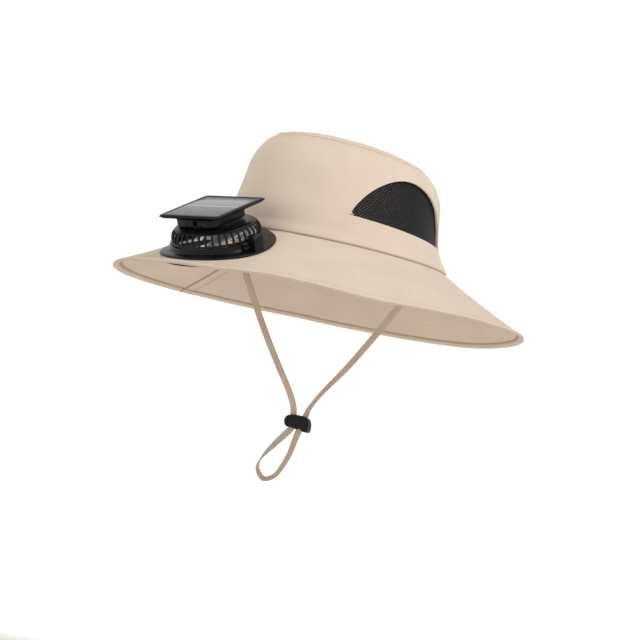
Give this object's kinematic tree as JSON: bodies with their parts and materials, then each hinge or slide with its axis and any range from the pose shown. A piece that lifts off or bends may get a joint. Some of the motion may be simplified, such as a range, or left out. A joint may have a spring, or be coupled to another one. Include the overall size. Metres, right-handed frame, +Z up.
{
  "type": "solar fan hat",
  "caption": "Wide-brim cloth sun hat with mesh side vents, a solar-powered ribbed fan on the front brim, and a hanging elastic chin strap with a cord lock.",
  "frame": {"origin": "middle of the head opening, where the crown meets the brim", "axes": "+Z up through the crown, -Y to the front, where the fan is, and +X to the wearer's left"},
  "size_m": [0.341, 0.3635, 0.2925],
  "materials": {
    "cloth": "light beige woven cloth, sewn",
    "mesh": "black knitted mesh",
    "black_plastic": "black, half gloss",
    "grey_plastic": "pale grey, half gloss",
    "motor_case": "plain steel case",
    "solar_cell": "clear glossy coat over a grey-violet cell",
    "strap": "beige flat elastic"
  },
  "bodies": {
    "hat": {"crown_tip": "cloth", "crown_side": "cloth", "crown_band": "cloth", "vent_mesh_left": "mesh", "vent_mesh_right": "mesh", "brim": "cloth", "fan_base": "black_plastic", "retaining_ring": "black_plastic", "fan_cage": "black_plastic", "fan_motor": "motor_case", "fan_housing": "black_plastic", "solar_frame": "black_plastic", "solar_cell": "solar_cell", "chin_strap": "strap", "cord_lock": "black_plastic"},
    "rotor": {"fan_rotor": "grey_plastic"}
  },
  "joints": [
    {"name": "fan_spin", "type": "hinge", "parent": "hat", "child": "rotor", "pos_m": [0, -0.14433, -0.02157], "axis": [0, -0.4507, 0.8927], "continuous": true}
  ]
}
